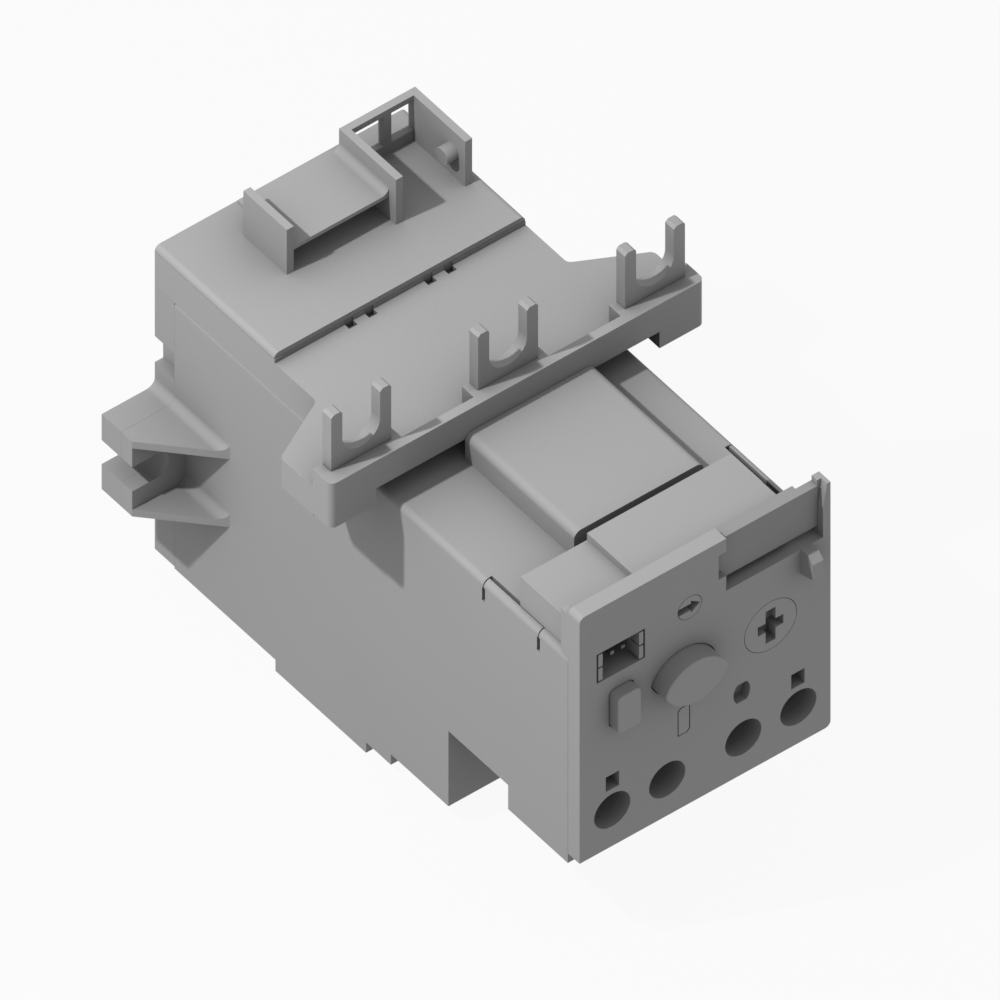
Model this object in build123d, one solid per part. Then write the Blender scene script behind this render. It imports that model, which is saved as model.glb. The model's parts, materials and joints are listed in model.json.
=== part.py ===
from build123d import *
import os

# Overload relay for a contactor. Working frame: x from the middle of the body, y = 0 on the front
# face and growing towards the mounting face, z = 0 on the lower edge of the front plate.
# All sizes are in millimetres.

# Body
body_width = 45.0
body_depth = 97.5
plate_thickness = 2.65
back_plate_thickness = 4.5
wall = 2.0
seam = 0.05
hairline = 0.02
edge_radius = 1.0

# Heights of the housing's steps, front to back
deck_height = 39.1
seam_drop = 0.25
front_foot = -1.94
notch_roof = 2.85
load_foot = -12.2
middle_foot = -14.3
rest_foot = -16.4
rear_foot = -14.2
back_foot = -13.8

# Depths of the same steps
notch_front = 16.4
notch_back = 30.1
load_back = 43.3
rest_front = 49.0
rest_back = 69.8

# Bays inside the housing
front_bay_floor = 13.6
front_bay_depth = 18.6
board_bay_floor = 9.0
board_bay_depth = 41.0
power_bay_front = 45.0
power_bay_floor = -10.0

# Fork terminals and the copper strips under them
fork_pitch = 26.34
fork_width = 10.76
fork_slot = 6.76
fork_rise = 20.3
fork_slot_drop = 5.7
fork_chamfer = 0.45
fork_back = 47.2
strip_thickness = 2.0
strip_width = 7.0
strip_rise = 2.9
core_pitch = 10.4
core_depth = 56.2
load_leg_level = 5.0
load_strip_depth = 41.0
load_strip_end = -9.0
strip_bend = 2.2

# Terminal carrier: bar, rib and flares
bar_half = 33.5
bar_front = 42.96
bar_end_inner = 25.4
bar_rise = 3.9
bar_end_rise = 0.6
rib_back = 44.5
rib_rise = 9.4
pad_half = 6.7
carrier_rise = 5.8
carrier_wall_front = 47.0
flare_side = 54.6
flare_back = 60.4
flare_rise = 0.3
flare_radius = 1.2
lid_front = 70.1
lid_rise = 6.55
lid_thickness = 1.0
lid_setback = 0.12
lid_notch_centers = [-9.2, -5.6, 5.0, 8.6]
lid_notch_width = 1.5
lid_notch_depth = 1.2

# Bracket that hooks on the contactor. Depths count from the mounting face.
hook_height = 8.92
hook_wall = 1.25
hook_left = -11.33
hook_middle = 6.98
hook_right = 20.64
hook_reach = 17.63
hook_left_reach = 16.0
hook_left_inset = 6.04
hook_inset = 4.55
shelf_rise = 4.95
shelf_thickness = 0.7
shelf_inset = 3.85
shelf_radius = 1.3
window_sill = 2.05
window_height = 5.8
window_post = 1.4
window_post_center = 14.7
peg_radius = 1.4
peg_length = 2.0
peg_reach = 14.7

# Mounting feet. Depths count from the mounting face.
foot_reach = 9.53
foot_bottom = 4.0
foot_top = 18.95
foot_depth = 7.0
foot_rib = 1.35
foot_rib_reach = 17.2
foot_fillet = 1.5
foot_slot = 4.8
foot_slot_inset = 4.13
foot_slot_drop = 0.1
side_notch_bottom = 23.5
side_notch_top = 28.7
side_notch_depth = 1.5

# Snap tabs in the side walls
tab_depths = (9.1, 21.7)
tab_slit = 0.7
tab_cut = 0.2
tab_wall = 1.05
tab_groove = 0.6
tab_drop = 4.0
tab_neck = 1.3
tab_groove_depth = 1.5

# Blocks on the front deck
block_left = -21.4
block_step = -9.45
block_right = 16.3
block_back = 15.0
left_block_rise = 5.8
right_block_rise = 7.2
block_wall = 1.5
cover_left = -9.5
cover_right = 13.7
cover_front = 17.9
cover_rise = 4.9
cover_wall = 1.5

# Front plate, with the marker plate in the recess at its upper right
plate_rise = 9.74
recess_left = 3.8
recess_drop = 0.7
ear_width = 1.34
ear_drop = 0.14
ear_slant = 5.0
ear_slant_depth = 1.4
marker_rise = 1.5
marker_height = 7.9
marker_front = 1.2
marker_lip = 0.75
marker_lip_end = 18.26
hinge_pocket = 1.36
hinge_pocket_rise = 3.0
hinge_pocket_height = 4.8
lug_center = 18.15
lug_width = 1.9
lug_reach = 2.75
lug_height = 4.9
lug_nose = 1.05

# Auxiliary terminals on the front
aux_centers = [-16.64, -6.78, 6.85, 16.73]
aux_level = 7.2
aux_access_radius = 3.25
aux_pocket_half = 3.5
aux_pocket_front = 4.4
aux_pocket_back = 14.4
aux_pocket_top = 12.0
aux_strip_depth = 11.6
aux_strip_thickness = 1.0
aux_strip_top = 20.3
probe_centers = [-16.6, 16.65]
probe_level = 12.9
probe_width = 2.4
probe_height = 2.9
eye_center = 6.6
eye_level = 16.4
eye_width = 3.0
eye_height = 3.6
eye_arc = 3.0
eye_depth = 1.7

# Reset button, test button and trip flag
button_gap = 0.18
button_edge = 0.25
reset_x = -3.9
reset_level = 27.5
reset_arc_radius = 6.1
reset_half_height = 4.2
reset_proud = 3.24
reset_stem_radius = 1.5
test_x = -15.0
test_level = 27.5
test_width = 4.5
test_height = 7.6
test_proud = 2.0
test_travel = 1.4
test_stem_radius = 1.0
button_flange = 0.9
flange_thickness = 1.0
flag_x = -3.8
flag_level = 17.25
flag_width = 2.24
flag_height = 5.5
flag_gap = 0.18
flag_clip = 0.5
trip_travel = 1.2

# Dials
dial_gap = 0.1
setting_x = 11.75
setting_level = 26.6
setting_radius = 4.74
setting_shaft_radius = 1.5
cross_width = 1.8
cross_height = 6.4
cross_span = 4.6
cross_depth = 2.2
class_x = -2.73
class_radius = 2.19
class_shaft_radius = 1.0
arrow_shaft = 1.3
arrow_head = 2.4
arrow_depth = 1.3
shaft_fit = 0.05

# Connector
port_left = -19.45
port_right = -10.75
port_drop = 5.05
port_rise = 0.75
port_gap = 0.33
shell_wall = 0.75
shell_slit = 0.34
pin_count = 3
pin_pitch = 1.97
pin_half = 0.32
pin_tip = 2.0
pin_rise = 2.05

# Mechanism frame, boards and coil
frame_front = 14.0
frame_thickness = 1.6
board_depth = 19.0
board_thickness = 1.6
sensor_board_level = 16.0
sensor_board_back = 71.5
sensor_half_width = 4.9
sensor_depth = 12.0
sensor_height = 14.0
coil_radius = 6.0
coil_front = 22.0
coil_length = 16.0
coil_plate = 1.2
plunger_radius = 1.5

# Contacts
bar_depth = 8.0
bar_thickness = 3.0
bar_low = 20.9
bar_high = 22.7
prong_half = 1.5
hook_thickness = 1.3
bridge_thickness = 0.6
bridge_low = 17.6
bridge_high = 19.6
contact_gap = 0.3

# Screws and clamps
aux_screw_head = 2.7
aux_screw_radius = 1.5
load_access_radius = 2.4
load_level = -5.0
load_screw_radius = 1.5
load_screw_head = 2.2
back_screw_radius = 1.45
back_screw_head = 2.6
screw_recess = 2.2
back_screw_depth = 12.0
back_screw_x = 17.8
back_screw_low = -6.8
back_screw_drop = 5.5

# Worked out from the sizes above
half = body_width / 2
plate_back = plate_thickness
housing_front = plate_back + seam
back_plate_front = body_depth - back_plate_thickness
housing_back = back_plate_front - hairline
inner = half - wall
deck_under = deck_height - wall
seam_height = deck_height - seam_drop
plate_height = deck_height + plate_rise
strip_level = deck_height + strip_rise
fork_top = deck_height + fork_rise
fork_slot_center = fork_top - fork_slot_drop
bar_bottom = deck_height + bar_rise
bar_end_bottom = deck_height + bar_end_rise
rib_top = deck_height + rib_rise
carrier_top = deck_height + carrier_rise
flare_bottom = deck_height + flare_rise
lid_bottom = deck_height + lid_rise
lid_top = lid_bottom + lid_thickness
hook_top = lid_top + hook_height
hook_front = body_depth - hook_reach
hook_left_front = body_depth - hook_left_reach
hook_left_back = body_depth - hook_left_inset
hook_back = body_depth - hook_inset
shelf_top = lid_top + shelf_rise
shelf_back = body_depth - shelf_inset
window_bottom = lid_top + window_sill
window_top = window_bottom + window_height
peg_depth = body_depth - peg_reach
foot_front = body_depth - foot_depth
foot_rib_front = body_depth - foot_rib_reach
left_block_top = deck_height + left_block_rise
right_block_top = deck_height + right_block_rise
cover_top = deck_height + cover_rise
recess_bottom = deck_height - recess_drop
ear_top = plate_height - ear_drop
marker_bottom = recess_bottom + marker_rise
marker_top = marker_bottom + marker_height
hinge_pocket_bottom = recess_bottom + hinge_pocket_rise
hinge_pocket_top = hinge_pocket_bottom + hinge_pocket_height
class_level = deck_height
port_bottom = deck_height - port_drop
port_top = deck_height + port_rise
back_screw_levels = [back_screw_low, deck_height - back_screw_drop]
phases = {"left": -1, "middle": 0, "right": 1}
ground = Pos(0, -(body_depth - reset_proud) / 2, -rest_foot)

os.makedirs("parts", exist_ok=True)


def save(name, shape):
    """Write one piece, moved so that the whole part stands on z = 0 with its box centred."""
    placed = ground * shape
    solids = placed.solids()
    export_step(Compound(children=list(solids)) if len(solids) > 1 else solids[0], f"parts/{name}.step")
    print(name, len(solids), round(sum(s.volume for s in solids), 1))


def block(x, y, z):
    """A box between two values on each axis."""
    middle = Pos((x[0] + x[1]) / 2, (y[0] + y[1]) / 2, (z[0] + z[1]) / 2)
    return middle * Box(x[1] - x[0], y[1] - y[0], z[1] - z[0])


def rod(x, z, radius, y0, y1):
    """A round bar along y."""
    return Pos(x, (y0 + y1) / 2, z) * Rot(90, 0, 0) * Cylinder(radius, y1 - y0)


def along_x(points, x0, x1):
    """Extrude an outline of (y, z) points along x."""
    outline = Polygon(*points, align=(Align.NONE, Align.NONE))
    return extrude(Plane.YZ.offset(x0) * outline, amount=x1 - x0, dir=(1, 0, 0))


def along_y(sketch, y0, y1):
    """Extrude a sketch drawn in (x, z) along y."""
    return extrude(Plane.XZ.offset(-y1) * sketch, amount=y1 - y0, dir=(0, -1, 0))


def along_z(points, z0, z1):
    """Extrude an outline of (x, y) points along z."""
    outline = Polygon(*points, align=(Align.NONE, Align.NONE))
    return extrude(Plane.XY.offset(z0) * outline, amount=z1 - z0, dir=(0, 0, 1))


def lens(arc_radius, half_height):
    """Pointed oval between two arcs that meet at its left and right ends."""
    rise = arc_radius - half_height
    return (Pos(0, -rise) * Circle(arc_radius)) & (Pos(0, rise) * Circle(arc_radius))


# Copper strips, one for each phase

def strip_path(points, width, x, grow):
    """A folded strip: a path in (y, z) given its thickness, then its width."""
    path = FilletPolyline(*points, radius=strip_bend)
    profile = trace(path, line_width=strip_thickness + 2 * grow)
    return extrude(Plane.YZ.offset(x - width / 2 - grow) * profile, amount=width + 2 * grow)


def phase_strip(side, grow=0.0):
    """Fork on top, a level plate that leads it inwards, then the leg through the sensor."""
    fork_x = side * fork_pitch
    core_x = side * core_pitch
    fork_middle = fork_back - strip_thickness / 2
    head = Pos(fork_x, (rib_top + fork_top) / 2 - 1) * Rectangle(fork_width, fork_top - rib_top + 2)
    opening = Pos(fork_x, fork_slot_center) * Circle(fork_slot / 2)
    opening += Pos(fork_x, fork_slot_center + fork_top / 2) * Rectangle(fork_slot, fork_top)
    prongs = head - opening
    prongs = chamfer(prongs.vertices().group_by(Axis.Y)[-1], fork_chamfer)
    fork = along_y(prongs, fork_back - strip_thickness, fork_back)
    stem = strip_path([(fork_middle, rib_top), (fork_middle, strip_level), (fork_middle + 4, strip_level)],
                      fork_width, fork_x, grow)
    low = strip_level - strip_thickness / 2 - grow
    high = strip_level + strip_thickness / 2 + grow
    reach = fork_width / 2 + grow
    core = strip_width / 2 + grow
    start = fork_middle + 3.5
    level = along_z([(fork_x - reach, start), (fork_x + reach, start), (fork_x + reach, start + 1),
                     (core_x + core, core_depth - strip_bend), (core_x - core, core_depth - strip_bend),
                     (fork_x - reach, start + 1)], low, high)
    leg = strip_path([(core_depth - 3, strip_level), (core_depth, strip_level), (core_depth, load_leg_level),
                      (load_strip_depth, load_leg_level), (load_strip_depth, load_strip_end)],
                     strip_width, core_x, grow)
    if grow:
        return stem + level + leg
    return fork + stem + level + leg


strips = {name: phase_strip(side) for name, side in phases.items()}
for name, strip in strips.items():
    save(f"phase_strip_{name}", strip)

# Main housing

outline = [(housing_front, front_foot), (notch_front, front_foot), (notch_front, notch_roof),
           (notch_back, notch_roof), (notch_back, load_foot), (load_back, load_foot),
           (load_back, middle_foot), (rest_front, middle_foot), (rest_front, rest_foot),
           (rest_back, rest_foot), (rest_back, rear_foot), (housing_back, rear_foot),
           (housing_back, seam_height - hairline), (carrier_wall_front - seam, seam_height - hairline),
           (carrier_wall_front - seam, deck_height), (housing_front, deck_height)]
housing = along_x(outline, -half, half)
deck_edges = [e for e in housing.edges().filter_by(Axis.Y) if abs(e.center().Z - deck_height) < 0.01]
housing = fillet(deck_edges, edge_radius)


def foot(side, y0, y1):
    """Slotted lug at one side of the body, between two depths."""
    outer = half + foot_reach
    lug = block(sorted([side * (half - wall), side * outer]), (y0, y1), (foot_bottom, foot_top))
    level = (foot_bottom + foot_top) / 2 - foot_slot_drop
    center = outer - foot_slot_inset
    slot = Pos(side * center, level) * Circle(foot_slot / 2)
    slot += Pos(side * (center + foot_reach / 2), level) * Rectangle(foot_reach, foot_slot)
    return lug - along_y(slot, y0 - 1, y1 + 1)


def foot_plan(side):
    """Outline of a foot seen from above: a slanting rib and the lug behind it."""
    inner_x = side * (half - wall)
    outer_x = side * (half + foot_reach)
    return [(inner_x, foot_rib_front), (side * half, foot_rib_front), (outer_x, foot_front),
            (outer_x, body_depth), (inner_x, body_depth)]


def foot_ribs(side):
    """The two slanting ribs in front of a lug."""
    until = block(sorted([side * inner, side * (half + foot_reach)]), (foot_rib_front - 1, foot_front + 1),
                  (foot_bottom - 1, foot_top + 1))
    top = along_z(foot_plan(side), foot_top - foot_rib, foot_top)
    bottom = along_z(foot_plan(side), foot_bottom, foot_bottom + foot_rib)
    return (top + bottom) & until


def foot_web(side, level, y0, y1):
    """Hollow fillet between the side wall and a rib's upper face, up to the rib's slanting edge."""
    corner = Pos(side * (half + foot_fillet / 2 - seam), level + foot_fillet / 2 - seam)
    corner *= Rectangle(foot_fillet + 2 * seam, foot_fillet + 2 * seam)
    hollow = Pos(side * (half + foot_fillet), level + foot_fillet) * Circle(foot_fillet)
    web = along_y(corner - hollow, y0, y1)
    return web & along_z(foot_plan(side), level - foot_rib, level + 2 * foot_fillet)


for side in (-1, 1):
    housing += foot(side, foot_front, housing_back) + foot_ribs(side)
    housing += foot_web(side, foot_top, foot_rib_front, housing_back)
    housing += foot_web(side, foot_bottom + foot_rib, foot_rib_front, foot_front + seam)

front_bay = block((-inner, inner), (0, front_bay_depth + 0.01), (front_bay_floor, deck_under))
board_bay = block((-inner, inner), (front_bay_depth, board_bay_depth), (board_bay_floor, deck_under))
power_bay = block((-inner, inner), (power_bay_front, body_depth), (power_bay_floor, seam_height - wall))
housing -= front_bay + board_bay + power_bay

# Deck opening under the control block
deck_hole_x = (block_left + 1.1, block_right - 1.2)
deck_hole_back = block_back - 1.3
housing -= block(deck_hole_x, (0, deck_hole_back), (deck_under - 1, deck_height + 1))

# Ledges for the sensor board and posts for the rear screws
for side in (-1, 1):
    ledge = sorted([side * inner, side * (inner - 1.5)])
    housing += block(ledge, (power_bay_front, sensor_board_back - 0.5),
                     (sensor_board_level - 2, sensor_board_level - seam))
    post = sorted([side * inner, side * (inner - 5.5)])
    for level in back_screw_levels:
        reach = (power_bay_floor, level + 3) if level < 0 else (level - 3, seam_height - wall)
        column = block(post, (housing_back - 14, housing_back), reach)
        housing += column
        housing -= rod(side * back_screw_x, level, back_screw_radius + 0.05, housing_back - 10, body_depth)
    # Guide ribs that hold the mechanism frame and the circuit board
    rib = sorted([side * inner, side * (inner - 1.2)])
    for depth in (frame_front - 1 - seam, frame_front + frame_thickness + seam):
        housing += block(rib, (depth, depth + 1), (front_bay_floor, deck_under))
    for depth in (board_depth + board_thickness + seam,):
        housing += block(rib, (depth, depth + 1), (board_bay_floor, deck_under))

# Slots for the strips in the roof of the power bay and in the wall behind the load terminals
for side in phases.values():
    x = side * core_pitch
    reach = strip_width / 2 + 0.3
    thick = strip_thickness / 2 + 0.3
    housing -= block((x - reach, x + reach), (core_depth - thick, core_depth + thick), (30, deck_height))
    housing -= block((x - reach, x + reach), (load_back - 1, power_bay_front + 1),
                     (load_leg_level - thick, load_leg_level + thick))
    pocket = core_pitch / 2 - 0.7
    housing -= block((x - pocket, x + pocket), (notch_back + 1.7, load_strip_depth + strip_thickness),
                     (load_foot - 1, load_leg_level + thick + 0.3))
    housing -= rod(x, load_level, load_access_radius, notch_back - 1, notch_back + 2)

# Pockets for the front terminals
for x in aux_centers:
    housing -= rod(x, aux_level, aux_access_radius, 0, aux_pocket_front + 0.5)
    housing -= block((x - aux_pocket_half, x + aux_pocket_half), (aux_pocket_front, aux_pocket_back),
                     (front_foot - 1, aux_pocket_top))
    housing -= block((x - 1.7, x + 1.7), (aux_strip_depth - 0.1, aux_strip_depth + aux_strip_thickness + 0.1),
                     (aux_pocket_top - 1, front_bay_floor + 1))
for x in probe_centers:
    housing -= block((x - probe_width / 2, x + probe_width / 2), (0, housing_front + 1.5),
                     (probe_level - probe_height / 2, probe_level + probe_height / 2))

# Snap tabs in the top edges of the side walls
for side in (-1, 1):
    groove = sorted([side * (half - tab_wall), side * (half - tab_wall - tab_groove)])
    cut = sorted([side * (half + 1), side * (half - tab_wall - tab_groove)])
    for depth in tab_depths:
        housing -= block(cut, (depth, depth + tab_slit), (deck_height - tab_drop, deck_height - tab_neck))
        neck = depth + (tab_slit - tab_cut) / 2
        housing -= block(cut, (neck, neck + tab_cut), (deck_height - tab_neck - seam, deck_height + 1))
    housing -= block(groove, (tab_depths[0] + tab_cut, tab_depths[1] + tab_slit - tab_cut),
                     (deck_height - tab_groove_depth, deck_height + 1))
save("main_housing", housing)

# Upper housing: terminal carrier with bar, rib, pads and flares, and the rear box

flare_join = flare_back + 2 * flare_radius
flare = Polygon((-half, flare_join), (-half, flare_back), (-bar_half, flare_side),
                (-bar_half, carrier_wall_front), (bar_half, carrier_wall_front), (bar_half, flare_side),
                (half, flare_back), (half, flare_join), align=(Align.NONE, Align.NONE))
flare_corners = [v for v in flare.vertices() if min(abs(v.Y - flare_side), abs(v.Y - flare_back)) < 0.01]
flare = fillet(flare_corners, flare_radius)
upper = extrude(Plane.XY.offset(flare_bottom) * flare, amount=carrier_top - flare_bottom, dir=(0, 0, 1))
upper += block((-half, half), (carrier_wall_front, lid_front + 0.5), (seam_height, carrier_top))
upper += block((-half, half), (lid_front - lid_setback, body_depth), (seam_height, lid_bottom - seam))
upper += block((-bar_half, bar_half), (bar_front, rib_back), (bar_bottom, rib_top))
upper += block((-bar_half, bar_half), (bar_front, fork_back), (bar_bottom, carrier_top))
for side in (-1, 1):
    ends = sorted([side * bar_end_inner, side * bar_half])
    upper += block(ends, (bar_front, fork_back), (bar_end_bottom, rib_top))
    pad = sorted([side * (fork_pitch - pad_half), side * bar_half])
    upper += block(pad, (bar_front, fork_back), (bar_bottom, rib_top))
upper += block((-pad_half, pad_half), (bar_front, fork_back), (bar_bottom, rib_top))
corner_edges = [e for e in upper.edges().filter_by(Axis.Z)
                if abs(abs(e.center().X) - bar_half) < 0.01 and e.center().Y < bar_front + 0.01]
upper = fillet(corner_edges, edge_radius)
upper -= block((-inner, inner), (flare_back + 1, lid_front + 0.6), (seam_height - 1, carrier_top - 1.5))
upper -= block((-inner, inner), (lid_front + 0.5, body_depth - wall), (seam_height - 1, lid_bottom - 1.5))
for side in phases.values():
    upper -= phase_strip(side, 0.05)
    fork_x = side * fork_pitch
    reach = fork_width / 2 + 0.05
    upper -= block((fork_x - reach, fork_x + reach), (fork_back - strip_thickness - 0.05, fork_back + 1),
                   (carrier_top - 0.5, rib_top + 1))
for x in lid_notch_centers:
    upper -= block((x - lid_notch_width / 2, x + lid_notch_width / 2),
                   (lid_front - lid_notch_depth, lid_front), (carrier_top - 1, carrier_top + 1))
save("upper_housing", upper)

# Rear lid with the hook bracket

lid = block((-half, half), (lid_front, body_depth), (lid_bottom, lid_top))
lid_edges = [e for e in lid.edges().filter_by(Axis.Y) if abs(e.center().Z - lid_top) < 0.01]
lid = fillet(lid_edges, edge_radius - 0.05)
base = lid_top - 0.4
lid += block((hook_left, hook_left + hook_wall), (hook_left_front, hook_left_back), (base, hook_top))
lid += block((hook_middle, hook_middle + hook_wall), (hook_front, hook_back), (base, hook_top))
lid += block((hook_right - hook_wall, hook_right), (hook_front, hook_back), (base, hook_top))
back_wall = block((hook_middle, hook_right), (hook_back - hook_wall, hook_back), (base, hook_top))
post_left = window_post_center - window_post / 2
post_right = window_post_center + window_post / 2
for x0, x1 in ((hook_middle + hook_wall, post_left), (post_right, hook_right - hook_wall)):
    back_wall -= block((x0, x1), (hook_back - 3, hook_back + 1), (window_bottom, window_top))
lid += back_wall
shelf = block((hook_left + hook_wall / 2, hook_middle + hook_wall / 2), (hook_left_front, shelf_back),
              (shelf_top - shelf_thickness, shelf_top))
shelf -= block((hook_left - 1, hook_left + hook_wall / 2 + 0.01), (hook_left_back, shelf_back + 1), (0, 90))
lid += shelf
shelf_corner = Pos(hook_middle - shelf_radius / 2 + seam, shelf_top + shelf_radius / 2 - seam)
shelf_corner *= Rectangle(shelf_radius + 2 * seam, shelf_radius + 2 * seam)
shelf_hollow = Pos(hook_middle - shelf_radius, shelf_top + shelf_radius) * Circle(shelf_radius)
lid += along_y(shelf_corner - shelf_hollow, hook_left_front, hook_back)
peg = Pos(hook_right - hook_wall - peg_length / 2 + 0.1, peg_depth, shelf_top) * Rot(0, 90, 0)
lid += peg * Cylinder(peg_radius, peg_length + 0.2)
save("rear_lid", lid)

# Back plate with its half of each foot

back_plate = block((-half, half), (back_plate_front, body_depth), (back_foot, seam_height - hairline))
for side in (-1, 1):
    back_plate += foot(side, back_plate_front, body_depth)
    back_plate += foot_web(side, foot_top, back_plate_front, body_depth)
    notch = sorted([side * (half - side_notch_depth), side * (half + 1)])
    back_plate -= block(notch, (back_plate_front - 1, body_depth + 1), (side_notch_bottom, side_notch_top))
    for level in back_screw_levels:
        x = side * back_screw_x
        back_plate -= rod(x, level, back_screw_radius + 0.2, back_plate_front - 1, body_depth + 1)
        back_plate -= rod(x, level, back_screw_head + 0.2, body_depth - screw_recess, body_depth + 1)
save("back_plate", back_plate)

screws = []
for side in (-1, 1):
    for level in back_screw_levels:
        x = side * back_screw_x
        screw = rod(x, level, back_screw_head, body_depth - screw_recess, body_depth - 0.3)
        screw += rod(x, level, back_screw_radius, body_depth - back_screw_depth,
                     body_depth - screw_recess + 0.1)
        screw -= block((x - 2, x + 2), (body_depth - 1.1, body_depth), (level - 0.35, level + 0.35))
        screws.append(screw)
save("back_screws", Compound(children=[s.solids()[0] for s in screws]))

# Front plate

front = block((-half, half), (0, plate_back), (0, plate_height))
left_edges = [e for e in front.edges().filter_by(Axis.Y) if e.center().X < 0 and e.center().Z > 1]
right_edges = [e for e in front.edges().filter_by(Axis.Y) if e.center().X > 0 and e.center().Z < 1]
front = fillet(left_edges + right_edges, edge_radius)
front += block((-half, -half + 1.1), (plate_back - 0.5, plate_back + 1.6),
               (deck_height + seam, plate_height - 1))
front -= block((recess_left, half - ear_width), (-1, plate_back + 1), (recess_bottom, plate_height + 1))
front -= block((recess_left - hinge_pocket, recess_left + 1), (-1, plate_back + 1),
               (hinge_pocket_bottom, hinge_pocket_top))
front -= block((half - ear_width - 1, half + 1), (-1, plate_back + 1), (ear_top, plate_height + 1))
slant_x = half - ear_width - 0.1
slant = Polygon((slant_x, ear_top - ear_slant), (half - 0.45, ear_top + 1), (slant_x, ear_top + 1),
                align=(Align.NONE, Align.NONE))
front -= along_y(slant, -1, ear_slant_depth)
lug_bottom = recess_bottom - lug_height
front += along_x([(0.4, recess_bottom), (-lug_reach + lug_nose, recess_bottom),
                  (-lug_reach, recess_bottom - lug_nose), (-lug_reach, lug_bottom + lug_nose - 0.2),
                  (0, lug_bottom), (0.4, lug_bottom)],
                 lug_center - lug_width / 2, lug_center + lug_width / 2)
for x in aux_centers:
    front -= rod(x, aux_level, aux_access_radius, -1, plate_back + 1)
for x in probe_centers:
    front -= block((x - probe_width / 2, x + probe_width / 2), (-1, plate_back + 1),
                   (probe_level - probe_height / 2, probe_level + probe_height / 2))
eye_shift = eye_arc - eye_width / 2
eye = Rectangle(2 * eye_width, eye_height) & (Pos(-eye_shift, 0) * Circle(eye_arc))
eye &= Pos(eye_shift, 0) * Circle(eye_arc)
front -= along_y(Pos(eye_center, eye_level) * eye, -1, eye_depth)


def clipped(width, height, clip):
    """Rectangle with its upper left and lower right corners cut off."""
    w, h = width / 2, height / 2
    return Polygon((-w, -h), (w - clip, -h), (w, -h + clip), (w, h), (-w + clip, h), (-w, h - clip),
                   align=(Align.NONE, Align.NONE))


front -= along_y(Pos(flag_x, flag_level) * clipped(flag_width, flag_height, flag_clip), -1, plate_back + 1)
reset_hole = Pos(reset_x, reset_level) * lens(reset_arc_radius, reset_half_height)
front -= along_y(reset_hole, -1, plate_back + 1)
test_hole = Pos(test_x, test_level) * RectangleRounded(test_width, test_height, edge_radius)
front -= along_y(test_hole, -1, plate_back + 1)
front -= rod(setting_x, setting_level, setting_radius, -1, plate_back + 1)
front -= rod(class_x, class_level, class_radius, -1, plate_back + 1)
front -= block((port_left, port_right), (-1, plate_back + 1), (port_bottom, port_top))
save("front_plate", front)

marker = block((recess_left + seam, half - ear_width - seam), (marker_front, plate_back),
               (marker_bottom, marker_top))
marker += block((recess_left - hinge_pocket + seam, recess_left + 1), (marker_front, plate_back),
                (hinge_pocket_bottom + seam, hinge_pocket_top - seam))
marker += block((recess_left + seam, marker_lip_end), (plate_back - 0.2, plate_back + marker_lip),
                (right_block_top + seam, marker_top))
save("marker_plate", marker)

# Control block on the deck

control = block((block_left, block_step + 0.1), (housing_front, block_back),
                (deck_height + seam, left_block_top))
control += block((block_step, block_right), (housing_front, block_back),
                 (deck_height + seam, right_block_top))
skirt_x = (deck_hole_x[0] + 0.1, deck_hole_x[1] - 0.1)
skirt_back = deck_hole_back - 0.1
control += block(skirt_x, (housing_front, skirt_back), (deck_under + 0.5, deck_height + 0.2))
inside = (skirt_x[0] + 0.9, skirt_x[1] - 0.9)
control -= block((inside[0], block_step + 0.5), (0, skirt_back - 0.1), (0, left_block_top - block_wall))
control -= block((block_step + 0.4, inside[1]), (0, skirt_back - 0.1), (0, right_block_top - block_wall))
save("control_block", control)

mid_cover = block((cover_left, cover_right), (cover_front, bar_front - seam), (deck_height + seam, cover_top))
top_edges = [e for e in mid_cover.edges() if e.center().Z > cover_top - 0.01]
round_edges = [e for e in top_edges if e.center().Y < bar_front - 0.2]
mid_cover = fillet(round_edges, edge_radius)
mid_cover -= block((cover_left + cover_wall, cover_right - cover_wall),
                   (cover_front + cover_wall, bar_front - cover_wall),
                   (deck_height - 1, cover_top - cover_wall))
save("mid_cover", mid_cover)

# Reset and test buttons

reset_place = Pos(reset_x, reset_level)
reset = along_y(reset_place * lens(reset_arc_radius - button_gap, reset_half_height - button_gap),
                -reset_proud, plate_back + 0.2)
top_edges = reset.edges().group_by(Axis.Y)[0]
reset = fillet(top_edges, button_edge)
flange_front = plate_back + 0.15
flange_back = flange_front + flange_thickness
reset += along_y(reset_place * lens(reset_arc_radius + button_flange, reset_half_height + button_flange),
                 flange_front, flange_back)
reset += rod(reset_x, reset_level, reset_stem_radius, flange_back - 0.1, frame_front + 1.0)
save("reset_button", reset)

test = along_y(Pos(test_x, test_level) * RectangleRounded(test_width - 2 * button_gap,
                                                          test_height - 2 * button_gap,
                                                          edge_radius - button_gap),
               -test_proud, plate_back + 0.2)
test = fillet(test.edges().group_by(Axis.Y)[0], button_edge)
test += along_y(Pos(test_x, test_level) * RectangleRounded(test_width + 2 * button_flange,
                                                            test_height + 2 * button_flange, edge_radius),
                flange_front, flange_back)
switch_front = frame_front - 3.4
test += rod(test_x, test_level, test_stem_radius, flange_back - 0.1, switch_front - test_travel - 0.3)
save("test_button", test)


def spring(x, z, radius, y0, y1, turns):
    """Coil spring along y, drawn as a round wire swept on a helix."""
    wire = 0.25
    height = y1 - y0 - 2 * wire
    path = Helix(pitch=height / turns, height=height, radius=radius)
    start = Plane(origin=path @ 0, z_dir=path % 0)
    coil = sweep(start * Circle(wire), path=path)
    return Pos(x, y1 - wire, z) * Rot(90, 0, 0) * coil


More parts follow.
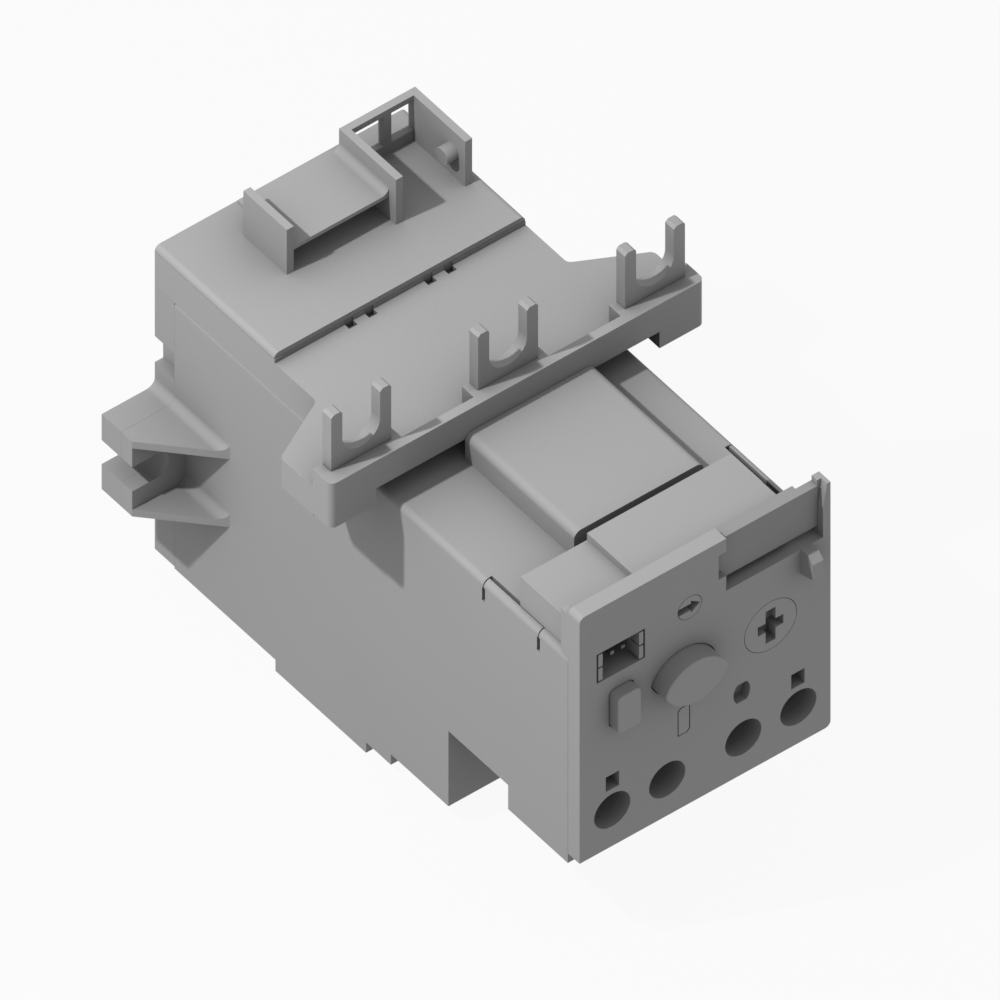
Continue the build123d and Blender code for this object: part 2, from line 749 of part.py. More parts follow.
save("reset_spring", spring(reset_x, reset_level, 2.3, flange_back, frame_front, 7))
save("test_spring", spring(test_x, test_level, 1.7, flange_back, switch_front, 5))

test_switch = block((test_x - 3, test_x + 3), (switch_front, frame_front - seam),
                    (test_level - 3, test_level + 3))
save("test_switch", test_switch)

# Dials and what they turn in

dial = rod(setting_x, setting_level, setting_radius - dial_gap, 0, plate_back + 0.2)
dial += rod(setting_x, setting_level, setting_radius + 0.6, flange_front, flange_back)
dial += rod(setting_x, setting_level, setting_shaft_radius, flange_back - 0.1, frame_front - 2.5)
cross = Rectangle(cross_width, cross_height) + Rectangle(cross_span, cross_width)
dial -= along_y(Pos(setting_x, setting_level) * cross, -1, cross_depth)
save("setting_dial", dial)

encoder_front = frame_front - 5
encoder = block((setting_x - 3.2, setting_x + 3.2), (encoder_front, frame_front - seam),
                (setting_level - 3.2, setting_level + 3.2))
encoder -= rod(setting_x, setting_level, setting_shaft_radius + shaft_fit, encoder_front - 1, frame_front - 2)
save("setting_encoder", encoder)

class_dial = rod(class_x, class_level, class_radius - dial_gap, 0, plate_back + 0.2)
class_dial += rod(class_x, class_level, class_radius + 0.6, flange_front, flange_back)
class_dial += rod(class_x, class_level, class_shaft_radius, flange_back - 0.1, 8.0)
arrow = Polygon((-2.17, -arrow_shaft / 2), (0.2, -arrow_shaft / 2), (0.2, -arrow_head / 2), (1.9, 0),
                (0.2, arrow_head / 2), (0.2, arrow_shaft / 2), (-2.17, arrow_shaft / 2),
                align=(Align.NONE, Align.NONE))
class_dial -= along_y(Pos(class_x, class_level) * arrow, -1, arrow_depth)
save("class_dial", class_dial)

class_switch = block((class_x - 3.2, class_x + 3.2), (6.5, skirt_back - 0.1 - seam),
                     (class_level - 3.2, class_level + 3.2))
class_switch -= rod(class_x, class_level, class_shaft_radius + shaft_fit, 5, 8.5)
save("class_switch", class_switch)

# Connector in the upper left window

shell_x = (port_left + port_gap, port_right - port_gap)
shell_z = (port_bottom + port_gap, port_top - port_gap)
floor_low = port_bottom - shell_wall
shell = block(shell_x, (housing_front, skirt_back - 0.15), (floor_low, shell_z[1]))
shell += block(shell_x, (skirt_back - 0.3, frame_front - seam), (floor_low, deck_under - 0.2))
shell -= block((shell_x[0] + shell_wall, shell_x[1] - shell_wall), (-1, 8), (port_bottom, shell_z[1] + 1))
for x in (shell_x[0], shell_x[1] - shell_wall):
    shell += block((x, x + shell_wall), (0, housing_front + 0.1), shell_z)
slit = (shell_z[0] + shell_z[1]) / 2
shell -= block((shell_x[0] - 1, shell_x[1] + 1), (-1, pin_tip),
               (slit - shell_slit / 2, slit + shell_slit / 2))
pins = []
pin_level = port_bottom + pin_rise
pin_z = (pin_level - pin_half, pin_level + pin_half)
for i in range(pin_count):
    x = (shell_x[0] + shell_x[1]) / 2 + (i - (pin_count - 1) / 2) * pin_pitch
    pin_x = (x - pin_half, x + pin_half)
    pins.append(block(pin_x, (pin_tip, 12), pin_z))
    shell -= block((pin_x[0] - seam, pin_x[1] + seam), (7, 12.1), (pin_z[0] - seam, pin_z[1] + seam))
save("connector_shell", shell)
save("connector_pins", Compound(children=[p.solids()[0] for p in pins]))

# Mechanism frame behind the buttons

frame_back = frame_front + frame_thickness
frame = block((-inner + 0.1, inner - 0.1), (frame_front, frame_back),
              (front_bay_floor + seam, deck_under - 0.3))
frame -= rod(reset_x, reset_level, reset_stem_radius + shaft_fit, 0, 30)
frame -= rod(flag_x, flag_level, plunger_radius + 0.3, 0, 30)
frame -= block((4.0, inner - 0.9), (frame_front - 1, frame_back + 1), (bridge_low - 2, bar_high + 0.9))
guide_level = (bar_low + bar_high) / 2
guide_centers = (-15.0, 1.5)
for x in guide_centers:
    frame += rod(x, guide_level, 0.6, bar_depth - 2.0, frame_front + 0.1)
for x in (-14.0, 14.0):
    frame += rod(x, 32.0, 1.5, frame_back - 0.1, board_depth - seam)
save("mechanism_frame", frame)

# Trip slide: flag, contact carrier and the two contact bridges

flag_face = clipped(flag_width - 2 * flag_gap, flag_height - 2 * flag_gap, flag_clip)
flag = along_y(Pos(flag_x, flag_level) * flag_face, 0, frame_front - 2.3)
save("trip_flag", flag)

bar_back = bar_depth + bar_thickness
carrier = block((-18.4, 18.4), (bar_depth, bar_back), (bar_low, bar_high))
for x in guide_centers:
    carrier -= rod(x, guide_level, 0.6 + shaft_fit, 0, 20)
flag_top = flag_level + flag_height / 2 - flag_gap
carrier += block((flag_x - 1, flag_x + 1), (bar_depth, bar_back), (flag_top + seam, bar_low + 0.1))
closed_x = (aux_centers[0] - 1.7, aux_centers[1] + 1.6)
open_x = (aux_centers[2] - 1.6, aux_centers[3] + 1.7)
closed_y = aux_strip_depth - contact_gap - bridge_thickness
open_y = aux_strip_depth + aux_strip_thickness + contact_gap + trip_travel
closed_mid = (closed_x[0] + closed_x[1]) / 2
open_mid = (open_x[0] + open_x[1]) / 2
carrier += block((closed_mid - prong_half, closed_mid + prong_half), (closed_y - 1.5, closed_y - seam),
                 (bridge_low, bar_low + 0.1))
open_back = open_y + bridge_thickness + seam
carrier += block((open_mid - prong_half, open_mid + prong_half), (bar_back - 0.1, open_back + hook_thickness),
                 (bar_low, bar_high))
carrier += block((open_mid - prong_half, open_mid + prong_half), (open_back, open_back + hook_thickness),
                 (bridge_low, bar_low + 0.1))
save("contact_carrier", carrier)
save("opening_bridge", block(closed_x, (closed_y, closed_y + bridge_thickness), (bridge_low, bridge_high)))
save("closing_bridge", block(open_x, (open_y, open_y + bridge_thickness), (bridge_low, bridge_high)))

# Trip coil and its plunger

plunger_tip = frame_front - 2.0
coil_back = coil_front + coil_length
coil = rod(flag_x, flag_level, coil_radius, coil_front + coil_plate, coil_back - coil_plate)
coil_x = (flag_x - coil_radius - 0.5, flag_x + coil_radius + 0.5)
coil_z = (board_bay_floor + seam, flag_level + coil_radius + 0.5)
coil += block(coil_x, (coil_front, coil_front + coil_plate), coil_z)
coil += block(coil_x, (coil_back - coil_plate, coil_back), coil_z)
coil += block(coil_x, (coil_front, coil_back), (coil_z[0], coil_z[0] + coil_plate))
coil -= rod(flag_x, flag_level, plunger_radius + shaft_fit, coil_front - 1, coil_back - 2)
save("trip_coil", coil)
save("trip_plunger", rod(flag_x, flag_level, plunger_radius, plunger_tip, coil_back - 3))

# Circuit boards

board = block((-inner + 0.1, inner - 0.1), (board_depth, board_depth + board_thickness),
              (board_bay_floor + seam, deck_under - 0.3))
board -= rod(flag_x, flag_level, plunger_radius + 0.4, board_depth - 1, board_depth + 3)
chip_face = board_depth + board_thickness
board += block((6, 13), (chip_face - 0.1, chip_face + 1.2), (22, 29))
board += block((-16, -12), (chip_face - 0.1, chip_face + 1.2), (27, 32))
save("circuit_board", board)

sensor_board = block((-inner + 0.1, inner - 0.1), (power_bay_front + 1, sensor_board_back),
                     (sensor_board_level, sensor_board_level + board_thickness))
sensor_base = sensor_board_level + board_thickness + seam
for name, side in phases.items():
    x = side * core_pitch
    reach = strip_width / 2 + 0.25
    thick = strip_thickness / 2 + 0.25
    hole = block((x - reach, x + reach), (core_depth - thick, core_depth + thick), (0, 35))
    sensor_board -= hole
    span = (x - sensor_half_width, x + sensor_half_width)
    sensor = block(span, (core_depth - sensor_depth / 2, core_depth + sensor_depth / 2),
                   (sensor_base, sensor_base + sensor_height))
    spool = core_depth + sensor_depth / 2 + sensor_half_width
    sensor += block((x - 3, x + 3), (core_depth + 5, spool), (sensor_base, sensor_base + sensor_height))
    winding = Cylinder(sensor_half_width - 0.4, sensor_height)
    sensor += Pos(x, spool, sensor_base + sensor_height / 2) * winding
    save(f"current_sensor_{name}", sensor - hole)
save("sensor_board", sensor_board)

# Load terminals: box clamps and their screws

load_screws = []
clamp_front = notch_back + 2.9
clamp_back = load_strip_depth + strip_thickness / 2
for name, side in phases.items():
    x = side * core_pitch
    clamp = block((x - 4.2, x + 4.2), (clamp_front, clamp_back + 0.9), (load_level - 4.7, load_level + 4.7))
    clamp -= block((x - 3.6, x + 3.6), (clamp_front + 1.4, clamp_back + seam),
                   (load_level - 6, load_level + 6))
    clamp -= rod(x, load_level, load_screw_radius + shaft_fit, clamp_front - 1, clamp_front + 2)
    save(f"load_clamp_{name}", clamp)
    head_front = notch_back + 1.8
    screw = rod(x, load_level, load_screw_head, head_front, clamp_front - 0.1)
    screw += rod(x, load_level, load_screw_radius, clamp_front - 0.2, clamp_front + 3.2)
    screw -= block((x - 3, x + 3), (head_front - 1, head_front + 0.5), (load_level - 0.3, load_level + 0.3))
    load_screws.append(screw)
save("load_screws", Compound(children=[s.solids()[0] for s in load_screws]))

# Auxiliary terminals: contact strip with its nut, clamp plate and screw

aux_screws = []
clamp_plates = []
aux_names = ("opening_in", "opening_out", "closing_in", "closing_out")
for name, x in zip(aux_names, aux_centers):
    strip_back = aux_strip_depth + aux_strip_thickness
    contact = block((x - 2.6, x + 2.6), (aux_strip_depth, strip_back), (0.5, aux_pocket_top - 0.2))
    contact += block((x - 1.5, x + 1.5), (aux_strip_depth, strip_back), (aux_pocket_top - 1, aux_strip_top))
    contact += block((x - 2.4, x + 2.4), (strip_back - 0.1, aux_pocket_back - seam),
                     (aux_level - 2.4, aux_level + 2.4))
    contact -= rod(x, aux_level, aux_screw_radius + shaft_fit, aux_strip_depth - 1, aux_pocket_back - 0.5)
    save(f"aux_contact_{name}", contact)
    head_front = aux_pocket_front + 0.4
    head_back = head_front + 1.6
    screw = rod(x, aux_level, aux_screw_head, head_front, head_back)
    screw += rod(x, aux_level, aux_screw_radius, head_back - 0.1, aux_pocket_back - 0.8)
    cut = Pos(x, aux_level) * (Rectangle(4.2, 0.9) + Rectangle(0.9, 4.2))
    screw -= along_y(cut, head_front - 1, head_front + 0.8)
    aux_screws.append(screw)
    plate = block((x - 3.0, x + 3.0), (head_back + seam, head_back + 0.85),
                  (aux_level - 3.4, aux_level + 3.4))
    plate -= rod(x, aux_level, aux_screw_radius + 0.1, 0, 20)
    clamp_plates.append(plate)
save("aux_screws", Compound(children=[s.solids()[0] for s in aux_screws]))
save("aux_clamp_plates", Compound(children=[p.solids()[0] for p in clamp_plates]))
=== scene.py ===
# %% [markdown]
# This lesson dresses an overload relay, the block that hangs under a contactor and trips a motor
# when it draws too much current. The shells, terminals, buttons and dials come ready from the
# construction model. Here they get their finish, their light and the small parts that such a
# model leaves plain: the threads of the terminal screws, the ridges of the plates that grip the
# wires, the wound springs of the buttons and the tongues in the seams.

# %% Load the construction model
import bmesh
import bpy
import json
from math import cos, pi, radians, sin, tau
from mathutils import Matrix, Vector


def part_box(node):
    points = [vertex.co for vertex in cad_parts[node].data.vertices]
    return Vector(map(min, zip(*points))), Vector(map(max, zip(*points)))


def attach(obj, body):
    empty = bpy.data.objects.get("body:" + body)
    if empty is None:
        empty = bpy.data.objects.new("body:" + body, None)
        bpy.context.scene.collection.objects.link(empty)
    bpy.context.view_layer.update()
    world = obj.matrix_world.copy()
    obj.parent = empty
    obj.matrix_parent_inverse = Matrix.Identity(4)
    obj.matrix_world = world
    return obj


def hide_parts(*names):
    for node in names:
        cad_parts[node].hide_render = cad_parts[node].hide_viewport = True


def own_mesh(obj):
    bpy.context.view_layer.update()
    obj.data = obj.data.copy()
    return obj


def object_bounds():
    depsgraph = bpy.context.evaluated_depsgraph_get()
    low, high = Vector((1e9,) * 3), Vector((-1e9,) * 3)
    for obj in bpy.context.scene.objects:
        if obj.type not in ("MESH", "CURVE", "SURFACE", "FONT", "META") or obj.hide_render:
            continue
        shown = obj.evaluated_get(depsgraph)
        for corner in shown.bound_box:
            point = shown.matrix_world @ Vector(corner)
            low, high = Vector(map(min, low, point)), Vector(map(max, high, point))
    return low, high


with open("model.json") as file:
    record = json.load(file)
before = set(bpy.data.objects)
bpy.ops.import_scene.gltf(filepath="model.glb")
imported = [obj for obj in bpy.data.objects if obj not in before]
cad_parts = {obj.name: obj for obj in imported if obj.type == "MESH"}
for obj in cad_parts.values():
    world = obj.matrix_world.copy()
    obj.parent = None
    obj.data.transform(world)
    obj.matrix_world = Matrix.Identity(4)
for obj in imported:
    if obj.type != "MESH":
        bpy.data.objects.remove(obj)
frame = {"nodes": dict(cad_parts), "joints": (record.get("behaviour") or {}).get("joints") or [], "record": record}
cad_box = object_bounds()
nodes = frame["nodes"]
mm = 0.001
print(len(nodes), "pieces from the construction model")

# %% [markdown]
# The picture is a parallel projection, so the camera is orthographic. It stands 38 degrees to the
# left of the front and looks down at 45 degrees. The scale is the width of the view in metres.

# %% Camera
camera_azimuth = radians(-38)
camera_elevation = radians(45)
camera_distance = 0.6
camera_range = 10
view_width = 0.1413
view_centre = Vector((-0.00897, -0.01155, 0.05277))

camera_data = bpy.data.cameras.new("camera")
camera_data.type = "ORTHO"
camera_data.ortho_scale = view_width
camera_data.clip_end = camera_range
camera = bpy.data.objects.new("camera", camera_data)
line_of_sight = Vector((-sin(camera_azimuth) * cos(camera_elevation),
                        cos(camera_azimuth) * cos(camera_elevation), -sin(camera_elevation)))
camera.location = view_centre - camera_distance * line_of_sight
camera.rotation_euler = (pi / 2 - camera_elevation, 0, camera_azimuth)
bpy.context.scene.collection.objects.link(camera)
bpy.context.scene.camera = camera
bpy.context.scene.view_settings.view_transform = "Standard"
print("camera at", [round(v, 3) for v in camera.location])

# %% [markdown]
# One lamp makes the shadows under the terminal bar and beside the hook bracket. The shadows spread
# apart, so the lamp isn't far: it hangs 42 cm up and 27 cm to the left, level with the back.
# It misses the front, which only the sky lights, so the front stays darkest.

# %% Lamp
lamp_place = Vector((-0.274, 0.060, 0.420))
lamp_radius = 8 * mm
lamp_power = 5.95

lamp_data = bpy.data.lights.new("lamp", "POINT")
lamp_data.energy = lamp_power
lamp_data.shadow_soft_size = lamp_radius
lamp = bpy.data.objects.new("lamp", lamp_data)
lamp.location = lamp_place
bpy.context.scene.collection.objects.link(lamp)
print("lamp", round(lamp_place.length, 3), "m away")

# %% [markdown]
# Materials are node trees, and sums on nodes are hard to read. This class wraps a socket, so that
# a mask can be written as an ordinary expression and the Math nodes appear by themselves.

# %% Sums on sockets
class Field:
    """A number that changes over a surface."""

    def __init__(self, finish, socket):
        self.finish = finish
        self.socket = socket

    def maths(self, operation, first, second):
        """One Math node."""
        return self.finish.node("ShaderNodeMath", {"operation": operation}, {0: first, 1: second})

    def __add__(self, other):
        return self.maths("ADD", self, other)

    def __sub__(self, other):
        return self.maths("SUBTRACT", self, other)

    def __rsub__(self, other):
        return self.maths("SUBTRACT", other, self)

    def __mul__(self, other):
        return self.maths("MULTIPLY", self, other)

    __radd__ = __add__
    __rmul__ = __mul__


print("sockets can be summed")

# %% [markdown]
# A material and a world both own a node tree. In the editor a node is added, then its settings are
# chosen, then its sockets are linked. One method does all three here, so that a finish reads as a
# list of its nodes.

# %% Nodes of a finish
class Finish:
    """A material or world, with the one method that adds nodes to it."""

    def __init__(self, owner):
        owner.use_nodes = True
        self.owner = owner
        self.tree = owner.node_tree

    def node(self, kind, settings, sockets, output=0):
        """Add a node: its settings first, then the values or links of its sockets."""
        made = self.tree.nodes.new(kind)
        for name, value in settings.items():
            setattr(made, name, value)
        for key, value in sockets.items():
            self.feed(made.inputs[key], value)
        return Field(self, made.outputs[output])

    def feed(self, socket, value):
        """Link a field to a socket, or set a plain value on it."""
        if isinstance(value, Field):
            self.tree.links.new(value.socket, socket)
        else:
            socket.default_value = value


def grey(level):
    """An opaque neutral colour."""
    return (level, level, level, 1)


print("nodes can be added")

# %% [markdown]
# The sky gives the rest of the light. It is equally strong all round and stronger towards the top,
# so every wall that the lamp misses has nearly the same grey. Camera, glossy and transmission
# rays see a near white background instead.

# %% Sky
background_level = 0.965
sky_level = 0.355
sky_rise = 0.24

sky = Finish(bpy.data.worlds.new("sky"))
bpy.context.scene.world = sky.owner
seen_directly = sky.node("ShaderNodeLightPath", {}, {}, "Is Camera Ray")
for kind in ("Is Glossy Ray", "Is Transmission Ray"):
    rays = sky.node("ShaderNodeLightPath", {}, {}, kind)
    seen_directly = sky.node("ShaderNodeMath", {"operation": "MAXIMUM"}, {0: seen_directly, 1: rays})
direction = sky.node("ShaderNodeTexCoord", {}, {}, "Generated")
height = sky.node("ShaderNodeSeparateXYZ", {}, {"Vector": direction}, "Z")
upward = sky.node("ShaderNodeMath", {"operation": "MAXIMUM"}, {0: height, 1: 0.0})
diffuse_level = upward * sky_rise + sky_level
light_level = seen_directly * background_level + (1 - seen_directly) * diffuse_level
sky.feed(sky.tree.nodes["Background"].inputs["Strength"], light_level)
sky.feed(sky.tree.nodes["Background"].inputs["Color"], grey(1.0))
print("sky level", sky_level)

# %% [markdown]
# The floor is a plain pale sheet just under the face that the relay stands on. It shines by
# itself, and a small part of it is ordinary matt paint, so a faint shadow stays. It doesn't hold
# back the light that the sky sends from below, because in the picture the relay floats in an even
# white room.

# %% Floor
floor_reach = 3.0
floor_gap = 0.05 * mm
shadow_share = 0.035
floor_tone = 0.9

floor_mesh = bpy.data.meshes.new("floor")
sheet = bmesh.new()
bmesh.ops.create_grid(sheet, x_segments=1, y_segments=1, size=floor_reach,
                      matrix=Matrix.Translation((0, 0, cad_box[0][2] - floor_gap)))
sheet.to_mesh(floor_mesh)
sheet.free()
floor = bpy.data.objects.new("floor", floor_mesh)
floor.visible_shadow = False
floor.visible_diffuse = False
bpy.context.scene.collection.objects.link(floor)

floor_paint = Finish(bpy.data.materials.new("floor paint"))
floor_paint.tree.nodes.remove(floor_paint.tree.nodes["Principled BSDF"])
matt = floor_paint.node("ShaderNodeBsdfDiffuse", {}, {"Color": grey(floor_tone)})
glow = floor_paint.node("ShaderNodeEmission", {}, {"Color": grey(background_level)})
floor_surface = floor_paint.node("ShaderNodeMixShader", {}, {0: shadow_share, 1: glow, 2: matt})
floor_paint.feed(floor_paint.tree.nodes["Material Output"].inputs["Surface"], floor_surface)
floor_mesh.materials.append(floor_paint.owner)
print("floor", 2 * floor_reach, "m wide")

# %% [markdown]
# Shade is painted into the colour of the finishes: a matt grey part is made darker wherever it is
# closed in, in the corners, in the wire holes, under the terminal bar and between the forks. The
# Ambient Occlusion node tells how open a point is within a reach, from 0 to 1, and that becomes a
# factor on the colour of a finish, a painted shade.
# In the picture the terminal carrier and its forks darken more than the rest, so their factor is
# stronger.

# %% Painted shade in the corners
corner_reach = 30 * mm
corner_samples = 8
shell_shade_share = 0.58
carrier_shade_share = 0.85


def corner_shade(finish, share):
    """A painted-shade factor on colour, which falls from 1 on open faces to 1 - share deep inside a corner."""
    openness = finish.node("ShaderNodeAmbientOcclusion", {"samples": corner_samples},
                           {"Distance": corner_reach}, "AO")
    return openness * share + (1 - share)


print("corner shade is ready")

# %% [markdown]
# The relay is one even, matt grey. Its shells are moulded plastic from a tool with a very fine
# spark-eroded grain, so the surface has no shine, only a tooth that a fingernail feels. The grain
# is a fine noise, a quarter of a millimetre wide, that feeds a bump. The tone drifts a little over a
# few centimetres, as the melt flows, and the roughness follows the grain.

# %% Moulded plastic
texture_middle = 0.5
plastic_gloss = 0.12
flow_size = 28 * mm
tone_drift = 0.05
roughness_drift = 0.15


def moulded(name, tone, roughness, grain_size=0.25 * mm, grain_depth=0.012 * mm, share=shell_shade_share):
    """Fine-grained matt plastic, with painted shade in its corners."""
    finish = Finish(bpy.data.materials.new(name))
    surface = finish.tree.nodes["Principled BSDF"]
    place = finish.node("ShaderNodeTexCoord", {}, {}, "Object")
    grain = finish.node("ShaderNodeTexNoise", {}, {"Vector": place, "Scale": 1 / grain_size,
                                                   "Detail": 2.0, "Roughness": 0.55})
    flow = finish.node("ShaderNodeTexNoise", {}, {"Vector": place, "Scale": 1 / flow_size, "Detail": 1.5})
    drift = (flow - texture_middle) * tone_drift + (grain - texture_middle) * tone_drift
    # The corner factor paints shade into the colour.
    shade = (drift + 1.0) * corner_shade(finish, share) * tone
    colour = finish.node("ShaderNodeCombineColor", {}, {0: shade, 1: shade, 2: shade})
    finish.feed(surface.inputs["Base Color"], colour)
    finish.feed(surface.inputs["Roughness"], (grain - texture_middle) * roughness_drift + roughness)
    finish.feed(surface.inputs["Specular IOR Level"], plastic_gloss)
    bump = finish.node("ShaderNodeBump", {}, {"Height": grain, "Distance": grain_depth, "Strength": 0.6})
    finish.feed(surface.inputs["Normal"], bump)
    return finish.owner


shell_tone = 0.392
carrier_tone = 1.03 * shell_tone
# The marker plate's darker tone is painted shade.
shaded_marker_tone = 0.83 * shell_tone
inner_tone = 0.11
# The carrier finish takes a stronger painted shade in its corners.
finishes = {
    "housing": moulded("grained housing plastic", shell_tone, roughness=0.72),
    "carrier": moulded("grained carrier plastic", carrier_tone, roughness=0.72, share=carrier_shade_share),
    "front": moulded("grained front plastic", shell_tone, roughness=0.70, grain_size=0.22 * mm),
    "marker": moulded("grained marker plastic", shaded_marker_tone, roughness=0.70, grain_size=0.22 * mm),
    "controls": moulded("smooth control plastic", shell_tone, roughness=0.62, grain_size=0.16 * mm,
                        grain_depth=0.006 * mm),
    "inner_plastic": moulded("dark inner plastic", inner_tone, roughness=0.55, grain_size=0.3 * mm),
}
print(len(finishes), "plastics")

# %% [markdown]
# The forks are copper with a dull coat of tin, the screws are steel with zinc. Both are greyer and
# rougher than bare metal. A plated coat shows the fine drawn lines of the strip below it, so the
# noise is stretched along the piece before it becomes a bump.

# %% Plated metal
cloud_size = 3 * mm
cloud_tone = 0.08
cloud_roughness = 0.2
line_size = 0.12 * mm
line_tone = 0.06
line_depth = 0.008 * mm


def plated(name, colour, metallic, roughness, stretch=(1, 1, 0.08), share=shell_shade_share):
    """Dull plated metal with drawn lines, and with painted shade in its corners."""
    finish = Finish(bpy.data.materials.new(name))
    surface = finish.tree.nodes["Principled BSDF"]
    place = finish.node("ShaderNodeTexCoord", {}, {}, "Object")
    drawn = finish.node("ShaderNodeMapping", {}, {"Vector": place, "Scale": stretch})
    lines = finish.node("ShaderNodeTexNoise", {}, {"Vector": drawn, "Scale": 1 / line_size, "Detail": 2.0})
    cloud = finish.node("ShaderNodeTexNoise", {}, {"Vector": place, "Scale": 1 / cloud_size, "Detail": 3.0})
    drift = (cloud - texture_middle) * cloud_tone + (lines - texture_middle) * line_tone
    # The corner factor paints shade into the colour.
    shade = (drift + 1.0) * corner_shade(finish, share)
    tinted = {index: shade * channel for index, channel in enumerate(colour)}
    finish.feed(surface.inputs["Base Color"], finish.node("ShaderNodeCombineColor", {}, tinted))
    finish.feed(surface.inputs["Metallic"], metallic)
    finish.feed(surface.inputs["Specular IOR Level"], metallic)
    finish.feed(surface.inputs["Roughness"], (cloud - texture_middle) * cloud_roughness + roughness)
    bump = finish.node("ShaderNodeBump", {}, {"Height": lines, "Distance": line_depth, "Strength": 0.5})
    finish.feed(surface.inputs["Normal"], bump)
    return finish.owner


# The forks take the carrier's stronger painted shade in their corners.
finishes["terminal_metal"] = plated("dull tin on copper", (0.38, 0.38, 0.38), metallic=0.1, roughness=0.66,
                                    share=carrier_shade_share)
finishes["screw_metal"] = plated("zinc on steel", (0.40, 0.40, 0.41), metallic=0.6, roughness=0.48,
                                 stretch=(1, 0.2, 1))
finishes["contact_metal"] = plated("rolled brass", (0.62, 0.50, 0.28), metallic=0.9, roughness=0.4)
finishes["spring_steel"] = plated("drawn spring wire", (0.55, 0.55, 0.56), metallic=0.9, roughness=0.35)
finishes["coil_iron"] = plated("laminated core", (0.30, 0.27, 0.25), metallic=0.3, roughness=0.6,
                               stretch=(0.05, 1, 1))
print(len(finishes), "finishes with the metals")

# %% [markdown]
# The circuit boards sit inside, out of sight, and still get their own finish: green lacquer over
# woven glass. Two crossed waves give the weave its fine square pattern. A band of such a wave is
# about 0.3 wide before it is scaled.

# %% Circuit board lacquer
weave_pitch = 0.5 * mm
wave_band = 0.3
weave_scale = wave_band / weave_pitch
weave_depth = 0.01 * mm
weave_contrast = 0.1
lacquer_roughness = 0.4


def lacquered(name, colour):
    """Solder lacquer over a glass weave."""
    finish = Finish(bpy.data.materials.new(name))
    surface = finish.tree.nodes["Principled BSDF"]
    place = finish.node("ShaderNodeTexCoord", {}, {}, "Object")
    warp, weft = [finish.node("ShaderNodeTexWave", {"bands_direction": way},
                              {"Vector": place, "Scale": weave_scale}) for way in "XZ"]
    weave = (warp + weft) * 0.5
    shade = (weave - texture_middle) * weave_contrast + 1.0
    tinted = {index: shade * channel for index, channel in enumerate(colour)}
    finish.feed(surface.inputs["Base Color"], finish.node("ShaderNodeCombineColor", {}, tinted))
    finish.feed(surface.inputs["Roughness"], (weave - texture_middle) * weave_contrast + lacquer_roughness)
    bump = finish.node("ShaderNodeBump", {}, {"Height": weave, "Distance": weave_depth, "Strength": 0.3})
    finish.feed(surface.inputs["Normal"], bump)
    return finish.owner


finishes["board"] = lacquered("green lacquer on glass weave", (0.07, 0.22, 0.12))
print(len(finishes), "finishes in all")

# %% [markdown]
# The record of the construction model says which finish each piece has, so one loop dresses them.
# Two pieces differ from their slots: the marker plate has a darker tone than the front, which is painted shade,
# and the upper housing, which is the terminal carrier, has its stronger painted shade.

# %% Dress the pieces
own_finish = {"marker_plate": "marker", "upper_housing": "carrier"}
for part in frame["record"]["subparts"]:
    mesh = nodes[part["node"]].data
    mesh.materials.clear()
    mesh.materials.append(finishes[own_finish.get(part["node"], part["material_slot"])])
print("dressed", len(nodes), "pieces")

# %% [markdown]
# The four screws of the auxiliary terminals show through the round holes in the front and from
# below. A real one is turned from steel wire, with a pan head on a thin core. It could be put
# together from cylinders, but one outline, spun round the axis, leaves no seam between the two.

# %% Turned blanks
same_point = 0.001 * mm
flat_angle = radians(0.5)


def spun_outline(mesh, outline, segments=40):
    """Spin an outline of (radius, depth) points, which starts and ends on the axis, about Y."""
    points = [mesh.verts.new((radius, depth, 0)) for radius, depth in outline]
    edges = [mesh.edges.new(pair) for pair in zip(points, points[1:])]
    bmesh.ops.spin(mesh, geom=points + edges, cent=(0, 0, 0), axis=(0, 1, 0), angle=tau, steps=segments,
                   use_merge=True)
    bmesh.ops.remove_doubles(mesh, verts=mesh.verts, dist=same_point)
    bmesh.ops.recalc_face_normals(mesh, faces=mesh.faces)
    bmesh.ops.dissolve_limit(mesh, angle_limit=flat_angle, verts=mesh.verts, edges=mesh.edges)


print("blanks can be turned")

# %% [markdown]
# The recess of a real screw is punched into its head. A Boolean could cut it here, but the front of
# the head is flat, so a way without a second body is enough: planes score the front along the edges
# of the recess, and the faces inside are pushed in.

# %% Recess for the driver
near = 0.01 * mm
facing = 0.9


def front_faces(mesh):
    """The faces of a screw head's flat front, which lies at depth 0."""
    return [f for f in mesh.faces if abs(f.calc_center_median().y) < near and f.normal.y < -facing]


def cut_lines(mesh, normal, offsets):
    """Score the flat front along planes at some offsets from the axis."""
    for offset in offsets:
        flat = front_faces(mesh)
        edges = list({e for f in flat for e in f.edges})
        corners = list({v for f in flat for v in f.verts})
        bmesh.ops.bisect_plane(mesh, geom=flat + edges + corners, plane_co=Vector(normal) * offset,
                               plane_no=normal, dist=same_point / 2)


def grow(mesh, faces, step, keep=False):
    """Extrude faces by a step, and keep the first ones only where they close a new body."""
    grown = bmesh.ops.extrude_face_region(mesh, geom=faces)
    moved = [item for item in grown["geom"] if isinstance(item, bmesh.types.BMVert)]
    if not keep:
        bmesh.ops.delete(mesh, geom=faces, context="FACES")
    bmesh.ops.translate(mesh, verts=moved, vec=step)


def push_in(mesh, inside, depth):
    """Push the faces of the flat front whose middles are inside a shape along +Y."""
    chosen = [f for f in front_faces(mesh) if inside(f.calc_center_median())]
    grow(mesh, chosen, (0, depth, 0))


print("recesses can be pushed in")

# %% [markdown]
# A thread could be a pattern in the finish, but the mesh is also handed on by itself, without it.
# So a small tooth with a narrow crest is spun round the core while it moves along the axis. It is a
# body of its own, and its foot is a little inside the core.

# %% Thread
thread_root = 0.02 * mm


